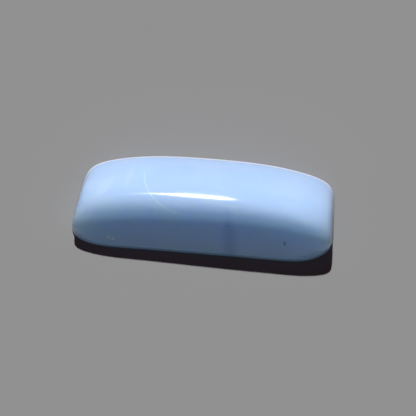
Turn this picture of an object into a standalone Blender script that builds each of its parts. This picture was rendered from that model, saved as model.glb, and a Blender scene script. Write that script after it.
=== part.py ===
"""Owyhee blue opal cabochon: one polished stone, a long barrel with a high dome and a flat ground back.

Metres, +Z up. The stone lies on its flat back at z = 0, with its length along X and the middle of its box
over the origin. +Y is the far side for someone who has the stone lying in front of them.

The stone starts as a cube that is cut into a lattice. Each lattice point then goes to its place on a coarse
cage of the stone, and Subdivision Surface rounds the cage. The rounding draws the surface a little inside
the cage, so the stone is 30.0 mm long, 11.2 mm wide and 6.8 mm high.
"""

import bmesh
import bpy
from mathutils import Vector

# Size of the cage
LENGTH = 0.03086
WIDTH = 0.01112
HEIGHT = 0.00676

# The narrow wall between the flat back and the dome
CHAMFER = 0.0003  # bevel ground round the back
GIRDLE = 0.0011  # height of the line where the dome starts
WALL_LEAN = 0.00012  # how far the wall leans in towards that line
GIRDLE_CREASE = 0.6

# The outline seen from above. The stone was cut by eye, so its sides and corners differ.
BACK_BOW = 0.00182  # how far the far side falls back towards its ends
FRONT_BOW = -0.0004  # the near side comes out instead, up to its cut corners
BOW_POWER = 3.0
LEFT_LEAN = 0.00183  # how far the left end leans in at the far side
RIGHT_LEAN = 0.00048
FRONT_LEFT_CUT = 0.00103  # how far each corner is cut back
FRONT_RIGHT_CUT = 0.00122
BACK_LEFT_CUT = 0.00005
BACK_RIGHT_CUT = 0.00005
CUT_POWER = 11.6  # keeps the cut to the corner

# The dome is two profiles whose heights multiply, one across the stone and one along it
ACROSS_POWER = 1.8
ACROSS_ROOT = 0.916
ALONG_POWER = 10.6
ALONG_ROOT = 4.33
CROWN = 0.097  # how much the dome falls from the middle of its crest to the ends, as a share of its height
RISE = 0.123  # how much higher than its middle the right end is, and how much lower the left end
CREST_OFFSET = -0.11  # the crest's place between the edges, -1 at the near one and 1 at the far one
CREST_BEND = -0.125  # how much nearer it comes at the ends

# Where the lattice is cut, on a cube from -1 to 1
CUTS_ALONG = (-0.78, -0.52, -0.26, 0.0, 0.26, 0.52, 0.78)
CUTS_ACROSS = (-0.5, 0.0, 0.5)
RING_HEIGHTS = (0.35, 0.7)  # rings round the dome, as shares of its height
WALL_LEVELS = 3  # levels of the lattice below the dome: the back, the top of its bevel and the girdle
CUBE_SIDE = 0.999  # anything further out than this lies on a side of the cube
ROUNDING_LEVELS = 2

OPAL_BLUE = (0.36, 0.56, 0.83, 1.0)


def clear_scene():
    for obj in list(bpy.data.objects):
        bpy.data.objects.remove(obj)


def profile(distance, power, root):
    """Height of the dome, from 1 at its middle to 0 at its edge, at this share of the way to the edge."""
    return max(0.0, 1.0 - abs(distance) ** power) ** (1.0 / root)


def reach(height, power, root):
    """How far from the middle the profile has this height: the inverse of profile."""
    return (1.0 - height**root) ** (1.0 / power)


def corner_cut(along, across):
    """How far a point is drawn in by the cut of its corner."""
    if along > 0:
        cut = BACK_RIGHT_CUT if across > 0 else FRONT_RIGHT_CUT
    else:
        cut = BACK_LEFT_CUT if across > 0 else FRONT_LEFT_CUT
    return cut * abs(along * across) ** CUT_POWER


def sign(value):
    return (value > 0) - (value < 0)


def plan_point(along, across):
    """The plan's point for lattice coordinates from -1 to 1 along and across the stone."""
    fall = abs(along) ** BOW_POWER
    back = WIDTH / 2 - BACK_BOW * fall
    front = WIDTH / 2 - FRONT_BOW * fall
    lean = RIGHT_LEAN if along > 0 else LEFT_LEAN
    cut = corner_cut(along, across)
    x = along * (LENGTH / 2 - lean * (across + 1) / 2) - sign(along) * cut
    y = across * (back + front) / 2 + (back - front) / 2 - sign(across) * cut
    return x, y


def crest_at(along):
    return CREST_OFFSET + CREST_BEND * along**2


def from_crest(along, across):
    """The way from the crest to the edge, as a share, for this place between the two edges."""
    crest = crest_at(along)
    return (across - crest) / (1.0 - crest if across > crest else 1.0 + crest)


def inset_point(along, across, inset, z):
    """The plan's point, drawn in from the outline by this much."""
    x, y = plan_point(along, across)
    return Vector((x * (1.0 - 2 * inset / LENGTH), y * (1.0 - 2 * inset / WIDTH), z))


def crest_height(along):
    """Height of the crest, as a share of the dome's height."""
    return profile(along, ALONG_POWER, ALONG_ROOT) * (1.0 - CROWN * along**2) * (1.0 + RISE * along)


def dome_point(along, across):
    across_height = profile(from_crest(along, across), ACROSS_POWER, ACROSS_ROOT)
    z = GIRDLE + (HEIGHT - GIRDLE) * crest_height(along) * across_height
    return inset_point(along, across, WALL_LEAN, z)


def wall_point(along, across, level):
    """A point of the wall or the flat back: level 0 is the back, 1 the top of its bevel and 2 the girdle."""
    inset = (CHAMFER, 0.0, WALL_LEAN)[level]
    z = (0.0, CHAMFER, GIRDLE)[level]
    return inset_point(along, across, inset, z)


def ring_place(along, across, share):
    """Lattice coordinates of the ring where the dome has this share of its height."""
    along *= reach(share, ALONG_POWER, ALONG_ROOT)
    edge = reach(share, ACROSS_POWER, ACROSS_ROOT)
    crest = crest_at(along)
    side = 1.0 - crest if across > 0 else 1.0 + crest
    return along, crest + across * edge * side


def cage_point(along, across, level):
    if level < WALL_LEVELS:
        return wall_point(along, across, level)
    return dome_point(*ring_place(along, across, RING_HEIGHTS[level - WALL_LEVELS]))


def cut_lattice(bm, axis, places):
    for place in places:
        point = [0.0, 0.0, 0.0]
        normal = [0.0, 0.0, 0.0]
        point[axis] = place
        normal[axis] = 1.0
        everything = bm.verts[:] + bm.edges[:] + bm.faces[:]
        bmesh.ops.bisect_plane(bm, geom=everything, plane_co=point, plane_no=normal)


def lattice():
    """A cube from -1 to 1 cut into the lattice, and the level of each of its points."""
    bm = bmesh.new()
    bmesh.ops.create_cube(bm, size=2.0)
    top = WALL_LEVELS + len(RING_HEIGHTS) - 1
    heights = [2.0 * level / top - 1.0 for level in range(top + 1)]
    cut_lattice(bm, 0, CUTS_ALONG)
    cut_lattice(bm, 1, CUTS_ACROSS)
    cut_lattice(bm, 2, heights[1:-1])
    levels = {vert: round((vert.co.z + 1.0) * top / 2) for vert in bm.verts}
    return bm, levels


def crease_rings(bm, levels):
    """Keeps the back's two edges sharp and the girdle nearly so."""
    crease = bm.edges.layers.float.new("crease_edge")
    for edge in bm.edges:
        first, second = (levels[vert] for vert in edge.verts)
        on_side = all(max(abs(vert.co.x), abs(vert.co.y)) > CUBE_SIDE for vert in edge.verts)
        if on_side and first == second and first < WALL_LEVELS:
            edge[crease] = (1.0, 1.0, GIRDLE_CREASE)[first]


def centre_on_origin(stone):
    """Moves the rounded stone so that the middle of its box lies over the origin."""
    rounded = stone.evaluated_get(bpy.context.evaluated_depsgraph_get())
    points = [vert.co.copy() for vert in rounded.to_mesh().vertices]
    rounded.to_mesh_clear()
    for axis in (0, 1):
        values = [point[axis] for point in points]
        stone.location[axis] = -(min(values) + max(values)) / 2


def stone_mesh():
    bm, levels = lattice()
    crease_rings(bm, levels)
    for vert, level in levels.items():
        vert.co = cage_point(vert.co.x, vert.co.y, level)
    mesh = bpy.data.meshes.new("cabochon")
    bm.to_mesh(mesh)
    bm.free()
    return mesh


def opal_material():
    material = bpy.data.materials.new("blue_opal")
    material.use_nodes = True
    shader = material.node_tree.nodes["Principled BSDF"]
    shader.inputs["Base Color"].default_value = OPAL_BLUE
    shader.inputs["Roughness"].default_value = 0.08
    shader.inputs["Metallic"].default_value = 0.0
    shader.inputs["IOR"].default_value = 1.45
    return material


def main():
    clear_scene()
    collection = bpy.data.collections.new("owyhee_blue_opal_cabochon")
    bpy.context.scene.collection.children.link(collection)
    stone = bpy.data.objects.new("cabochon", stone_mesh())
    collection.objects.link(stone)
    stone.data.materials.append(opal_material())
    rounding = stone.modifiers.new("rounding", "SUBSURF")
    rounding.levels = ROUNDING_LEVELS
    rounding.render_levels = ROUNDING_LEVELS
    stone.data.shade_smooth()
    centre_on_origin(stone)


main()
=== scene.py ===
"""Owyhee blue opal cabochon, finished: one polished stone of milky blue opal, lying on its flat back.

The stone is modelled on a cage, in metres, with +Z up and its length along X. A cube is cut into a lattice,
the lattice is pulled to the cage, and Subdivision Surface rounds it. Two chips, a pit and a speck are then
dug into the polish. The finish lays the milk, the dusky vein, the healed crack, the small marks and the
ground rim over the body of the opal. Some of that colour is painted light: pale streaks of painted
reflection along the crest, painted shade in the pits and on the ground rim's near side, and chips lit
up in part as a painted highlight. The crest is a little worn, so its highlight is soft.
"""

import logging
import math
from dataclasses import dataclass, field
from enum import Enum
from typing import Any

import bmesh
import bpy
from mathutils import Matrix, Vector


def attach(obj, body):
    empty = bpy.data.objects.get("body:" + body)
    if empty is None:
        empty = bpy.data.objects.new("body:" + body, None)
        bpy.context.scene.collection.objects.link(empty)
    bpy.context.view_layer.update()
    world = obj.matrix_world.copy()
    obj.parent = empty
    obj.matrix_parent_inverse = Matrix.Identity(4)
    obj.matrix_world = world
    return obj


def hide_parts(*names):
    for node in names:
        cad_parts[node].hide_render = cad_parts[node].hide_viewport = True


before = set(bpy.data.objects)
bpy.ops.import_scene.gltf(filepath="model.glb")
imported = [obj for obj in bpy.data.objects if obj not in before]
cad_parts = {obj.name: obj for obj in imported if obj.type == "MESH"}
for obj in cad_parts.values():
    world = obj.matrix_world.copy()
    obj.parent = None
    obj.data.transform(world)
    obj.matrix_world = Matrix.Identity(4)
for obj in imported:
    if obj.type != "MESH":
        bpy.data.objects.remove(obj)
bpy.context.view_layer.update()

STONE_NODE = "cabochon"
ROOT_BODY = "root"
MM_PER_METRE = 1000.0
LATTICE_SIDE = 0.999  # anything further out than this lies on a side of the block
UPWARD = 0.1  # a normal that points up by more than this belongs to the top of the stone
NOISE_MIDDLE = 0.5
MIX_FIRST_COLOUR = 6  # the colour sockets of a Mix node, which share their names with its others
MIX_SECOND_COLOUR = 7
MIX_COLOUR_OUTPUT = 2
LOG = logging.getLogger("cabochon")

Colour = tuple[float, float, float, float]
Point = tuple[float, float, float]
Fade = tuple[float, float]  # where something is gone, and where it is full


def sign(value: float) -> int:
    """Returns -1, 0 or 1, as the value is below, at or above zero."""
    return (value > 0) - (value < 0)


def deselect_objects() -> None:
    """Clears the selection, which holds the frame's nodes after loading."""
    bpy.ops.object.select_all(action="DESELECT")


@dataclass(frozen=True)
class Outline:
    """The stone seen from above. It was cut by eye, so its sides, ends and corners differ."""

    length: float = 0.03085
    width: float = 0.01108
    back_tilt: float = 0.0001
    back_bow: float = 0.00182
    front_bow: float = -0.0004
    front_swell: float = 0.00008
    bow_power: float = 3.0
    left_lean: float = 0.00183
    right_lean: float = 0.00048
    front_left_cut: float = 0.00103
    front_right_cut: float = 0.00122
    back_left_cut: float = 0.00005
    back_right_cut: float = 0.00005
    cut_power: float = 11.6

    def corner_cut(self, along: float, across: float) -> float:
        """How far a point is drawn in by the cut of its corner.

        Args:
            along: place along the stone, from -1 to 1.
            across: place across the stone, from -1 at the near edge to 1 at the far one.

        Returns:
            The distance in metres.
        """
        if along > 0:
            cut = self.back_right_cut if across > 0 else self.front_right_cut
        else:
            cut = self.back_left_cut if across > 0 else self.front_left_cut
        return cut * abs(along * across) ** self.cut_power

    def point(self, along: float, across: float, inset: float) -> tuple[float, float]:
        """The plan's point for a place on the stone, drawn in from the outline.

        Args:
            along: place along the stone, from -1 to 1.
            across: place across the stone, from -1 to 1.
            inset: how far the outline is drawn in, in metres.

        Returns:
            The point's x and y.
        """
        fall = abs(along) ** self.bow_power
        back = self.width / 2 - self.back_bow * fall + self.back_tilt * along
        front = self.width / 2 - self.front_bow * fall + self.front_swell * (1.0 - along**2) ** 2
        lean = self.right_lean if along > 0 else self.left_lean
        cut = self.corner_cut(along, across)
        x = along * (self.length / 2 - lean * (across + 1) / 2) - sign(along) * cut
        y = across * (back + front) / 2 + (back - front) / 2 - sign(across) * cut
        return x * (1.0 - 2 * inset / self.length), y * (1.0 - 2 * inset / self.width)


@dataclass(frozen=True)
class Profile:
    """A profile of the dome: its height falls from 1 at the middle to 0 at the edge."""

    power: float
    root: float

    def height(self, distance: float) -> float:
        """The height at this share of the way to the edge."""
        return max(0.0, 1.0 - abs(distance) ** self.power) ** (1.0 / self.root)

    def reach(self, height: float) -> float:
        """How far from the middle the profile has this height."""
        return (1.0 - height**self.root) ** (1.0 / self.power)


@dataclass(frozen=True)
class Dome:
    """The dome over the girdle: two profiles whose heights multiply, one each way, about a bent crest.

    The crest is a list of places along the stone, each with the share of the dome's height that it reaches.
    """

    height: float = 0.00683
    girdle: float = 0.0011
    across: Profile = Profile(power=1.8, root=0.916)
    along: Profile = Profile(power=11.6, root=5.6)
    crest: tuple[tuple[float, float], ...] = (
        (-1.0, 0.82),
        (-0.78, 0.858),
        (-0.52, 0.92),
        (-0.26, 0.97),
        (0.0, 1.002),
        (0.26, 1.027),
        (0.52, 0.992),
        (0.78, 0.94),
        (1.0, 0.93),
    )
    crest_offset: float = -0.11
    left_bend: float = 0.02
    right_bend: float = -0.125

    def crest_at(self, along: float) -> float:
        """Where the crest lies between the near edge and the far one, at this place along the stone."""
        bend = self.right_bend if along > 0 else self.left_bend
        return self.crest_offset + bend * along**2

    def crest_height(self, along: float) -> float:
        """Height of the crest, read between the heights that are given for the lattice's cuts.

        Args:
            along: place along the stone, from -1 to 1.

        Returns:
            The height as a share of the dome's height.
        """
        for (start, low), (end, high) in zip(self.crest, self.crest[1:]):
            if along <= end:
                break
        return self.along.height(along) * (low + (high - low) * (along - start) / (end - start))

    def height_at(self, along: float, across: float) -> float:
        """Height of the dome over the back.

        Args:
            along: place along the stone, from -1 to 1.
            across: place across the stone, from -1 to 1.

        Returns:
            The height in metres.
        """
        crest = self.crest_at(along)
        side = (across - crest) / (1.0 - crest if across > crest else 1.0 + crest)
        rise = self.crest_height(along) * self.across.height(side)
        return self.girdle + (self.height - self.girdle) * rise

    def ring_place(self, along: float, across: float, share: float) -> tuple[float, float]:
        """Where a ring round the dome runs.

        Args:
            along: place of the ring's point along the lattice, from -1 to 1.
            across: its place across the lattice, from -1 to 1.
            share: the share of the dome's height at which the ring runs.

        Returns:
            The point's place along and across the stone.
        """
        along *= self.along.reach(share)
        crest = self.crest_at(along)
        side = 1.0 - crest if across > 0 else 1.0 + crest
        return along, crest + across * self.across.reach(share) * side


class Level(Enum):
    """The levels of the lattice, from the flat back up: the value is the level's place."""

    BACK = 0
    BEVEL_TOP = 1
    GIRDLE = 2
    LEDGE = 3
    LOWER_RING = 4
    TOP = 5


@dataclass(frozen=True)
class Cage:
    """The coarse cage that Subdivision Surface rounds into the stone."""

    outline: Outline = Outline()
    dome: Dome = Dome()
    bevel: float = 0.0003
    wall_lean: float = 0.00012
    ledge: float = 0.00012
    cuts_along: tuple[float, ...] = (-0.78, -0.52, -0.26, 0.0, 0.26, 0.52, 0.78)
    cuts_across: tuple[float, ...] = (-0.5, 0.0, 0.5)
    ring_shares: tuple[float, ...] = (0.35, 0.7)
    creases: tuple[float, ...] = (1.0, 1.0, 0.8, 0.8)

    def point(self, along: float, across: float, level: Level) -> Vector:
        """The cage's point for a point of the lattice.

        Args:
            along: place along the lattice, from -1 to 1.
            across: place across it, from -1 to 1.
            level: the point's level.

        Returns:
            The point in metres.
        """
        if level.value > Level.LEDGE.value:
            share = self.ring_shares[level.value - Level.LOWER_RING.value]
            along, across = self.dome.ring_place(along, across, share)
            x, y = self.outline.point(along, across, self.wall_lean + self.ledge)
            return Vector((x, y, self.dome.height_at(along, across)))
        top_of_wall = self.dome.girdle - self.ledge / 2
        inset = (self.bevel, 0.0, self.wall_lean, self.wall_lean + self.ledge)[level.value]
        height = (0.0, self.bevel, top_of_wall, top_of_wall + self.ledge)[level.value]
        x, y = self.outline.point(along, across, inset)
        return Vector((x, y, height))


@dataclass(frozen=True)
class Dig:
    """A small hollow in the polish, in metres."""

    x: float
    y: float
    radius: float
    depth: float


@dataclass
class Cabochon:
    """The stone's shape. Round each hollow the mesh is finer, out to fine_reach times its radius."""

    cage: Cage = field(default_factory=Cage)
    rounding_levels: int = 4
    sharp_angle: float = math.radians(30)
    fine_reach: float = 1.6
    fine_cuts: int = 3
    digs: tuple[Dig, ...] = (
        Dig(x=-0.01065, y=-0.00482, radius=0.00026, depth=0.00007),
        Dig(x=-0.01018, y=-0.00489, radius=0.00022, depth=0.00006),
        Dig(x=0.0095, y=-0.00411, radius=0.00026, depth=0.0001),
        Dig(x=0.00282, y=-0.00292, radius=0.00016, depth=0.00004),
    )
    stone: bpy.types.Object | None = None

    def build(self) -> bpy.types.Object:
        """Models the stone.

        Returns:
            The stone's object, at the origin.
        """
        self.stone = self.add_block()
        self.cut_lattice()
        self.crease_rings()
        self.pull_to_cage()
        self.round_off()
        self.centre()
        for hollow in self.digs:
            self.dig(hollow)
        return self.stone

    def add_block(self) -> bpy.types.Object:
        """Adds the block that the stone is cut from.

        Returns:
            Its object.
        """
        outline, dome = self.cage.outline, self.cage.dome
        deselect_objects()
        bpy.ops.mesh.primitive_cube_add(size=1.0, location=(0.0, 0.0, dome.height / 2))
        block = bpy.context.active_object
        block.name = "opal_stone"
        block.scale = (outline.length, outline.width, dome.height)
        bpy.ops.object.transform_apply(location=True, rotation=False, scale=True)
        return block

    def cut_lattice(self) -> None:
        """Cuts the block at each place of the lattice."""
        outline, dome = self.cage.outline, self.cage.dome
        bpy.ops.object.mode_set(mode="EDIT")
        for place in self.cage.cuts_along:
            self.cut((place * outline.length / 2, 0.0, 0.0), (1.0, 0.0, 0.0))
        for place in self.cage.cuts_across:
            self.cut((0.0, place * outline.width / 2, 0.0), (0.0, 1.0, 0.0))
        for level in range(1, Level.TOP.value):
            self.cut((0.0, 0.0, dome.height * level / Level.TOP.value), (0.0, 0.0, 1.0))
        bpy.ops.object.mode_set(mode="OBJECT")

    def cut(self, place: Point, normal: Point) -> None:
        """Cuts the whole block through at a plane.

        Args:
            place: a point of the plane.
            normal: the plane's normal.
        """
        bpy.ops.mesh.select_all(action="SELECT")
        bpy.ops.mesh.bisect(plane_co=place, plane_no=normal)

    def lattice_place(self, point: Vector) -> tuple[float, float, Level]:
        """Where a point of the block is in the lattice.

        Args:
            point: the point, in metres.

        Returns:
            Its place along and across, each from -1 to 1, and its level.
        """
        outline, dome = self.cage.outline, self.cage.dome
        level = Level(round(point.z * Level.TOP.value / dome.height))
        return 2 * point.x / outline.length, 2 * point.y / outline.width, level

    def crease_rings(self) -> None:
        """Keeps the back's two edges sharp, and the girdle's two nearly so."""
        bpy.ops.object.mode_set(mode="EDIT")
        for level, crease in zip(Level, self.cage.creases):
            bpy.ops.mesh.select_all(action="DESELECT")
            bpy.ops.mesh.select_mode(type="EDGE")
            mesh = bmesh.from_edit_mesh(self.stone.data)
            for edge in mesh.edges:
                edge.select = all(self.on_side(vert.co, level) for vert in edge.verts)
            bmesh.update_edit_mesh(self.stone.data)
            bpy.ops.transform.edge_crease(value=crease)
        bpy.ops.object.mode_set(mode="OBJECT")

    def on_side(self, point: Vector, level: Level) -> bool:
        """Whether a point of the block lies on its outer side at this level."""
        along, across, own_level = self.lattice_place(point)
        return own_level is level and max(abs(along), abs(across)) > LATTICE_SIDE

    def pull_to_cage(self) -> None:
        """Pulls each point of the lattice to its place on the cage."""
        targets = [self.cage.point(*self.lattice_place(vert.co)) for vert in self.stone.data.vertices]
        bpy.ops.object.mode_set(mode="EDIT")
        bpy.ops.mesh.select_mode(type="VERT")
        for index, target in enumerate(targets):
            bpy.ops.mesh.select_all(action="DESELECT")
            mesh = bmesh.from_edit_mesh(self.stone.data)
            mesh.verts.ensure_lookup_table()
            mesh.verts[index].select = True
            mesh.select_flush_mode()
            bpy.ops.transform.translate(value=target - mesh.verts[index].co)
        bpy.ops.object.mode_set(mode="OBJECT")

    def round_off(self) -> None:
        """Rounds the cage into the stone."""
        bpy.ops.object.modifier_add(type="SUBSURF")
        rounding = self.stone.modifiers[-1]
        rounding.levels = self.rounding_levels
        rounding.render_levels = self.rounding_levels
        bpy.ops.object.modifier_apply(modifier=rounding.name)
        bpy.ops.object.shade_smooth_by_angle(angle=self.sharp_angle)

    def centre(self) -> None:
        """Brings the middle of the stone's box over the origin."""
        corners = [Vector(corner) for corner in self.stone.bound_box]
        middle = sum(corners, Vector()) / len(corners)
        bpy.ops.transform.translate(value=(-middle.x, -middle.y, 0.0))
        bpy.ops.object.transform_apply(location=True, rotation=False, scale=False)

    def dig(self, hollow: Dig) -> None:
        """Presses a small hollow into the top of the stone.

        Args:
            hollow: its place and size.
        """
        bpy.ops.object.mode_set(mode="EDIT")
        self.subdivide_round(hollow)
        bpy.ops.mesh.select_mode(type="VERT")
        bpy.ops.mesh.select_all(action="DESELECT")
        mesh = bmesh.from_edit_mesh(self.stone.data)
        place = Vector((hollow.x, hollow.y))
        upper = [vert for vert in mesh.verts if vert.normal.z > UPWARD]
        deepest = min(upper, key=lambda vert: (vert.co.xy - place).length)
        inward = -hollow.depth * deepest.normal
        deepest.select = True
        mesh.select_flush_mode()
        bpy.ops.transform.translate(
            value=inward,
            use_proportional_edit=True,
            proportional_edit_falloff="SMOOTH",
            proportional_size=hollow.radius,
            use_proportional_connected=True,
        )
        bpy.ops.object.mode_set(mode="OBJECT")

    def subdivide_round(self, hollow: Dig) -> None:
        """Gives the surface a finer mesh where a hollow goes.

        Args:
            hollow: its place and size.
        """
        bpy.ops.mesh.select_mode(type="FACE")
        bpy.ops.mesh.select_all(action="DESELECT")
        mesh = bmesh.from_edit_mesh(self.stone.data)
        place = Vector((hollow.x, hollow.y))
        for face in mesh.faces:
            distance = (face.calc_center_median().xy - place).length
            face.select = distance < self.fine_reach * hollow.radius and face.normal.z > UPWARD
        bmesh.update_edit_mesh(self.stone.data)
        bpy.ops.mesh.subdivide(number_cuts=self.fine_cuts)


@dataclass(frozen=True)
class Socket:
    """An output of a shader node. Python's operators on it add Math nodes."""

    sheet: "Sheet"
    output: bpy.types.NodeSocket

    def __add__(self, other: "Socket | float") -> "Socket":
        """Adds another value."""
        return self.sheet.maths("ADD", self, other)

    def __radd__(self, other: float) -> "Socket":
        """Adds this value to a number."""
        return self.sheet.maths("ADD", other, self)

    def __sub__(self, other: "Socket | float") -> "Socket":
        """Takes another value away."""
        return self.sheet.maths("SUBTRACT", self, other)

    def __rsub__(self, other: float) -> "Socket":
        """Takes this value from a number."""
        return self.sheet.maths("SUBTRACT", other, self)

    def __mul__(self, other: "Socket | float") -> "Socket":
        """Multiplies by another value."""
        return self.sheet.maths("MULTIPLY", self, other)

    def __rmul__(self, other: float) -> "Socket":
        """Multiplies a number by this value."""
        return self.sheet.maths("MULTIPLY", other, self)

    def __truediv__(self, other: "Socket | float") -> "Socket":
        """Divides by another value."""
        return self.sheet.maths("DIVIDE", self, other)

    def __pow__(self, power: float) -> "Socket":
        """Raises the value to a power."""
        return self.sheet.maths("POWER", self, power)

    def __abs__(self) -> "Socket":
        """Drops the sign."""
        return self.sheet.maths("ABSOLUTE", self)


class Sheet:
    """The node tree of one material."""

    def __init__(self, name: str) -> None:
        """Starts a material that holds its shader and its output.

        Args:
            name: the material's name.
        """
        self.material = bpy.data.materials.new(name)
        self.material.use_nodes = True
        self.tree = self.material.node_tree
        self.shader = self.tree.nodes["Principled BSDF"]

    def node(
        self,
        kind: str,
        settings: dict[str, Any],
        inputs: dict[str | int, Any],
        output: str | int = 0,
    ) -> Socket:
        """Adds a node.

        Args:
            kind: the node's type.
            settings: its properties, which are set first.
            inputs: a value or a Socket for each of its sockets that is set.
            output: the name or number of the output that is wanted.

        Returns:
            That output.
        """
        added = self.tree.nodes.new(kind)
        for name, value in settings.items():
            setattr(added, name, value)
        for name, value in inputs.items():
            self.feed(added.inputs[name], value)
        return Socket(self, added.outputs[output])

    def feed(self, target: bpy.types.NodeSocket, value: Any) -> None:
        """Links a Socket to an input, or sets the input's own value.

        Args:
            target: the input.
            value: a Socket, or the value itself.
        """
        if isinstance(value, Socket):
            self.tree.links.new(value.output, target)
        else:
            target.default_value = value

    def maths(self, operation: str, *values: "Socket | float") -> Socket:
        """Adds a Math node.

        Args:
            operation: what it does.
            values: its inputs, in order.

        Returns:
            Its result.
        """
        return self.node("ShaderNodeMath", {"operation": operation}, dict(enumerate(values)))

    def fade(self, value: Socket, gone: float, full: float) -> Socket:
        """A smooth change from 0 to 1 as a value goes from one number to another.

        Args:
            value: the value that is followed.
            gone: where the result is 0.
            full: where it is 1.

        Returns:
            The result.
        """
        if gone < full:
            inputs = {"Value": value, "From Min": gone, "From Max": full, "To Min": 0.0, "To Max": 1.0}
        else:
            inputs = {"Value": value, "From Min": full, "From Max": gone, "To Min": 1.0, "To Max": 0.0}
        return self.node("ShaderNodeMapRange", {"interpolation_type": "SMOOTHSTEP"}, inputs)

    def tint(self, share: Socket, first: "Socket | Colour", second: "Socket | Colour") -> Socket:
        """Goes from one colour to another.

        Args:
            share: how much of the second colour shows.
            first: the colour where the share is 0.
            second: the colour where it is 1.

        Returns:
            The mixed colour.
        """
        inputs = {"Factor": share, MIX_FIRST_COLOUR: first, MIX_SECOND_COLOUR: second}
        return self.node("ShaderNodeMix", {"data_type": "RGBA"}, inputs, MIX_COLOUR_OUTPUT)


@dataclass(frozen=True)
class Place:
    """A place on the stone's surface, in millimetres."""

    sheet: Sheet
    point: Socket
    x: Socket
    y: Socket
    z: Socket

    @classmethod
    def on(cls, sheet: Sheet) -> "Place":
        """Reads the place from the stone's own coordinates.

        Args:
            sheet: the sheet of the material that needs it.

        Returns:
            The place.
        """
        metres = sheet.node("ShaderNodeTexCoord", {}, {}, "Object")
        scaling = {0: metres, "Scale": MM_PER_METRE}
        point = sheet.node("ShaderNodeVectorMath", {"operation": "SCALE"}, scaling)
        x, y, z = (sheet.node("ShaderNodeSeparateXYZ", {}, {0: point}, axis) for axis in range(3))
        return cls(sheet, point, x, y, z)

    def noise(self, scale: float, detail: float) -> Socket:
        """A cloudy pattern from 0 to 1.

        Args:
            scale: how many clouds there are in a millimetre.
            detail: how many finer layers the clouds have.

        Returns:
            The pattern.
        """
        inputs = {"Vector": self.point, "Scale": scale, "Detail": detail}
        return self.sheet.node("ShaderNodeTexNoise", {}, inputs)


@dataclass(frozen=True)
class Waver:
    """An unevenness that goes to both sides of zero, as wide in all as its size."""

    size: float
    scale: float
    detail: float

    def at(self, place: Place) -> Socket:
        """The unevenness at a place."""
        return self.size * (place.noise(self.scale, self.detail) - NOISE_MIDDLE)


@dataclass(frozen=True)
class Spot:
    """A soft round or oval mark on the stone, in millimetres and degrees."""

    x: float
    y: float
    radius_x: float
    radius_y: float
    turn: float = 0.0
    edge: Fade = (1.0, 0.1)

    def share(self, place: Place) -> Socket:
        """How much of the mark shows at a place.

        Args:
            place: the place on the stone.

        Returns:
            The share: 1 in the mark's middle, 0 from its edge on.
        """
        cosine, sine = math.cos(math.radians(self.turn)), math.sin(math.radians(self.turn))
        off_x, off_y = place.x - self.x, place.y - self.y
        long_way = (off_x * cosine + off_y * sine) / self.radius_x
        short_way = (off_y * cosine - off_x * sine) / self.radius_y
        return place.sheet.fade(long_way * long_way + short_way * short_way, *self.edge)


@dataclass(frozen=True)
class GroundRim:
    """What is ground and not polished, in millimetres: the back, and a band along the girdle.

    On the near side, which lies in shade, the band is faded almost away to the body's blue: painted shade,
    not wear.
    """

    girdle: float = 1.1
    band: float = 0.12
    soft_share: float = 0.5
    waver: Waver = Waver(size=0.08, scale=0.8, detail=3.0)
    # how far the pale band is faded on the shaded near side: painted shade
    near_shade_fade: float = 0.9
    near_side: Fade = (-4.2, -5.2)
    back: Fade = (0.3, 0.1)

    def share(self, place: Place) -> Socket:
        """How much of the ground surface shows at a place.

        Args:
            place: the place on the stone.

        Returns:
            The share.
        """
        sheet = place.sheet
        uneven = place.z + self.waver.at(place)
        edge = sheet.fade(abs(uneven - self.girdle), self.band, self.soft_share * self.band)
        # painted shade: the pale band is faded out where the near side lies in shade
        edge = edge * (1.0 - self.near_shade_fade * sheet.fade(place.y, *self.near_side))
        return sheet.maths("MAXIMUM", edge, sheet.fade(place.z, *self.back))


@dataclass(frozen=True)
class Clouds:
    """Where the opal is milkier, in millimetres: faint clouds everywhere, and clear ones, with two thin
    pale streaks of painted reflection along the crest.
    """

    faint: float = 0.4
    faint_scale: float = 0.22
    faint_detail: float = 3.0
    faint_edge: Fade = (0.4, 0.65)
    clear_and_streak: float = 0.7
    clouds_and_sheen_streaks: tuple[Spot, ...] = (
        Spot(x=-11.5, y=0.5, radius_x=2.2, radius_y=0.7, turn=55.0),
        Spot(x=-8.8, y=2.0, radius_x=2.0, radius_y=0.5, turn=75.0),
        # painted reflection: two thin pale streaks along the crest, in the soft reflection beside the
        # highlight
        Spot(x=2.8, y=-0.88, radius_x=2.6, radius_y=0.11, turn=-0.5),
        Spot(x=1.3, y=-0.62, radius_x=2.0, radius_y=0.07, turn=-0.5),
    )

    def share(self, place: Place) -> Socket:
        """How milky the opal is at a place, with the painted reflection streaks added.

        Args:
            place: the place on the stone.

        Returns:
            The share.
        """
        pattern = place.noise(self.faint_scale, self.faint_detail)
        share = self.faint * place.sheet.fade(pattern, *self.faint_edge)
        for cloud in self.clouds_and_sheen_streaks:
            share = share + self.clear_and_streak * cloud.share(place)
        return place.sheet.maths("MINIMUM", share, 1.0)


@dataclass(frozen=True)
class Vein:
    """The dusky vein across the stone, in millimetres. It widens and deepens down the near slope."""

    middle: float = 2.45
    slant: float = 0.18
    waver: Waver = Waver(size=0.5, scale=0.6, detail=2.0)
    narrow: float = 0.35
    widening: float = 0.9
    widens: Fade = (-1.0, -4.0)
    edge: Fade = (1.2, 0.0)
    faint: float = 0.1
    deepening: float = 0.6
    deepens: Fade = (-0.8, -4.0)

    def share(self, place: Place) -> Socket:
        """How dusky the opal is at a place.

        Args:
            place: the place on the stone.

        Returns:
            The share.
        """
        sheet = place.sheet
        middle = self.middle - self.slant * place.y
        width = self.narrow + self.widening * sheet.fade(place.y, *self.widens)
        across = abs(place.x + self.waver.at(place) - middle) / width
        strength = self.faint + self.deepening * sheet.fade(place.y, *self.deepens)
        return strength * sheet.fade(across, *self.edge)


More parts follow.
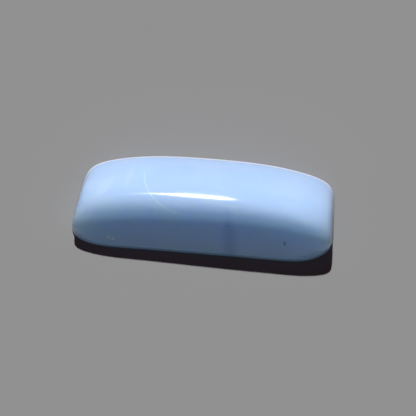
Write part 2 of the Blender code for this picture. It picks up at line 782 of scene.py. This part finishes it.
@dataclass(frozen=True)
class Crack:
    """The healed crack, in millimetres: a pale arc from the far slope over the crest at the left."""

    centre_x: float = -2.2
    centre_y: float = 2.6
    radius_x: float = 4.9
    radius_y: float = 4.7
    waver: Waver = Waver(size=0.03, scale=1.5, detail=2.0)
    edge: Fade = (0.03, 0.006)
    right_end: Fade = (-2.2, -3.4)
    far_end: Fade = (3.2, 2.0)
    strength: float = 0.36

    def share(self, place: Place) -> Socket:
        """How much of the crack shows at a place.

        Args:
            place: the place on the stone.

        Returns:
            The share.
        """
        sheet = place.sheet
        off_x = (place.x - self.centre_x) / self.radius_x
        off_y = (place.y - self.centre_y) / self.radius_y
        around = (off_x * off_x + off_y * off_y) ** 0.5
        distance = abs(around - 1.0 + self.waver.at(place))
        reach = sheet.fade(place.x, *self.right_end) * sheet.fade(place.y, *self.far_end)
        return self.strength * sheet.fade(distance, *self.edge) * reach


@dataclass(frozen=True)
class OpalFinish:
    """The finish of the opal: its colours, its marks and its polish."""

    name: str = "milky_blue_opal"
    body: Colour = (0.405, 0.59, 0.96, 1.0)
    milk: Colour = (0.46, 0.63, 0.96, 1.0)
    dusk: Colour = (0.28, 0.45, 0.80, 1.0)
    frost: Colour = (0.64, 0.72, 0.88, 1.0)
    # pale colour of the healed crack and the chips; on the chips it is lit up further, partly a painted
    # highlight for their small glints
    pale_and_glint: Colour = (0.66, 0.8, 1.0, 1.0)
    # painted shade: a darker colour laid in the pits and the speck, over the shade their dug hollows cast
    pit_shade: Colour = (0.26, 0.38, 0.62, 1.0)
    polish: float = 0.12
    worn: float = 0.25
    ground: float = 0.75
    refraction: float = 1.45
    scatter_weight: float = 1.0
    scatter: float = 0.006
    scatter_radius: tuple[float, float, float] = (1.1, 1.0, 0.6)
    rim: GroundRim = GroundRim()
    clouds: Clouds = Clouds()
    vein: Vein = Vein()
    crack: Crack = Crack()
    worn_crest: Spot = Spot(x=0.0, y=0.0, radius_x=4.0, radius_y=1.6, turn=-0.5)
    # the chips: pale in part from their own colour, in part a painted highlight
    glinting_chips: tuple[Spot, ...] = (
        Spot(x=-10.65, y=-4.82, radius_x=0.28, radius_y=0.2),
        Spot(x=-10.18, y=-4.89, radius_x=0.24, radius_y=0.18),
    )
    # where the painted shade of the pits and the speck lies
    shaded_pits: tuple[Spot, ...] = (
        Spot(x=9.5, y=-4.11, radius_x=0.22, radius_y=0.26),
        Spot(x=2.82, y=-2.92, radius_x=0.12, radius_y=0.1),
    )

    def make(self) -> bpy.types.Material:
        """Builds the material.

        Returns:
            The finished material.
        """
        sheet = Sheet(self.name)
        place = Place.on(sheet)
        ground = self.rim.share(place)
        colour = sheet.tint(self.clouds.share(place), self.body, self.milk)
        colour = sheet.tint(self.vein.share(place), colour, self.dusk)
        colour = sheet.tint(self.crack.share(place), colour, self.pale_and_glint)
        colour = sheet.tint(ground, colour, self.frost)
        # the chips' pale colour: partly real, partly a painted highlight
        colour = sheet.tint(self.marks_share(self.glinting_chips, place), colour, self.pale_and_glint)
        # painted shade in the pits and the speck
        colour = sheet.tint(self.marks_share(self.shaded_pits, place), colour, self.pit_shade)
        worn = (self.worn - self.polish) * self.worn_crest.share(place)
        roughness = self.polish + worn + (self.ground - self.polish) * ground
        self.set_uniform_values(sheet)
        sheet.feed(sheet.shader.inputs["Base Color"], colour)
        sheet.feed(sheet.shader.inputs["Roughness"], roughness)
        return sheet.material

    def set_uniform_values(self, sheet: Sheet) -> None:
        """Sets the values that are the same all over the stone.

        Args:
            sheet: the material's sheet.
        """
        shader = sheet.shader.inputs
        shader["IOR"].default_value = self.refraction
        shader["Subsurface Weight"].default_value = self.scatter_weight
        shader["Subsurface Radius"].default_value = self.scatter_radius
        shader["Subsurface Scale"].default_value = self.scatter

    def marks_share(self, marks: tuple[Spot, ...], place: Place) -> Socket:
        """How much of some small marks on the top of the stone shows at a place.

        Args:
            marks: the marks.
            place: the place on the stone.

        Returns:
            The share.
        """
        total = marks[0].share(place)
        for mark in marks[1:]:
            total = total + mark.share(place)
        return total * place.sheet.fade(place.z, self.rim.girdle, self.rim.girdle + self.rim.band)


@dataclass(frozen=True)
class Floor:
    """The plain floor that the stone lies on."""

    size: float = 4.0
    paper: Colour = (0.281, 0.285, 0.286, 1.0)
    roughness: float = 1.0
    gloss: float = 0.0

    def build(self) -> None:
        """Adds the floor."""
        deselect_objects()
        bpy.ops.mesh.primitive_plane_add(size=self.size)
        floor = bpy.context.active_object
        floor.name = "floor"
        sheet = Sheet("floor_paper")
        sheet.shader.inputs["Base Color"].default_value = self.paper
        sheet.shader.inputs["Roughness"].default_value = self.roughness
        sheet.shader.inputs["Specular IOR Level"].default_value = self.gloss
        floor.data.materials.append(sheet.material)


@dataclass(frozen=True)
class Studio:
    """The light and the camera, in metres and degrees. Their directions start from the viewer's side."""

    sun_zenith: float = 39.6
    sun_azimuth: float = 3.5
    sun_strength: float = 3.93
    sun_angle: float = 1.2
    card_elevation: float = 9.0
    card_distance: float = 0.6
    card_width: float = 1.6
    card_height: float = 0.18
    card_power: float = 0.85
    card_colour: tuple[float, float, float] = (0.4, 0.84, 1.0)
    room: Colour = (0.038, 0.004, 0.0, 1.0)
    turn: float = 4.77
    elevation: float = 80.0
    lens: float = 400.0
    field_width: float = 0.04787
    target: Point = (0.000393, -0.000112, 0.0)

    def build(self) -> None:
        """Sets up the light, the room and the camera."""
        self.add_sun()
        self.add_card()
        self.add_room()
        self.add_camera()

    def towards_viewer(self, elevation: float) -> Vector:
        """The direction from the stone to the viewer's side.

        Args:
            elevation: how high over the floor it points, in degrees.

        Returns:
            The direction, one metre long.
        """
        turn, climb = math.radians(self.turn), math.radians(elevation)
        return Vector((
            math.sin(turn) * math.cos(climb),
            -math.cos(turn) * math.cos(climb),
            math.sin(climb),
        ))

    def add_sun(self) -> None:
        """Adds the one strong lamp, behind the stone and a little to its left."""
        zenith = math.radians(self.sun_zenith)
        azimuth = math.radians(self.sun_azimuth + self.turn)
        direction = Vector((
            -math.sin(zenith) * math.sin(azimuth),
            math.sin(zenith) * math.cos(azimuth),
            math.cos(zenith),
        ))
        deselect_objects()
        bpy.ops.object.light_add(type="SUN", location=direction)
        lamp = bpy.context.active_object
        lamp.name = "key_lamp"
        lamp.rotation_euler = direction.to_track_quat("Z", "Y").to_euler()
        lamp.data.energy = self.sun_strength
        lamp.data.angle = math.radians(self.sun_angle)

    def add_card(self) -> None:
        """Adds the soft light in front of the stone, low down and much weaker than the lamp."""
        direction = self.towards_viewer(self.card_elevation)
        deselect_objects()
        bpy.ops.object.light_add(type="AREA", location=self.card_distance * direction)
        card = bpy.context.active_object
        card.name = "soft_card"
        card.rotation_euler = direction.to_track_quat("Z", "Y").to_euler()
        card.data.shape = "RECTANGLE"
        card.data.size = self.card_width
        card.data.size_y = self.card_height
        card.data.energy = self.card_power
        card.data.color = self.card_colour

    def add_room(self) -> None:
        """Gives the room its low light."""
        world = bpy.data.worlds.new("room")
        world.use_nodes = True
        world.node_tree.nodes["Background"].inputs["Color"].default_value = self.room
        bpy.context.scene.world = world

    def add_camera(self) -> None:
        """Adds the camera, far off with a long lens."""
        back = self.towards_viewer(self.elevation)
        deselect_objects()
        bpy.ops.object.camera_add()
        camera = bpy.context.active_object
        camera.name = "camera"
        camera.data.lens = self.lens
        distance = self.field_width * self.lens / camera.data.sensor_width
        camera.location = Vector(self.target) + back * distance
        camera.rotation_euler = back.to_track_quat("Z", "Y").to_euler()
        bpy.context.scene.camera = camera


def main() -> None:
    """Builds the floor, the stone, the light and the camera."""
    logging.basicConfig(level=logging.INFO, format="%(name)s: %(message)s")
    Floor().build()
    stone = Cabochon().build()
    stone.data.materials.append(OpalFinish().make())
    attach(stone, ROOT_BODY)
    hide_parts(STONE_NODE)
    LOG.info("%s: %d faces", stone.name, len(stone.data.polygons))
    Studio().build()
    bpy.context.scene.view_settings.view_transform = "Standard"


if __name__ == "__main__":
    main()
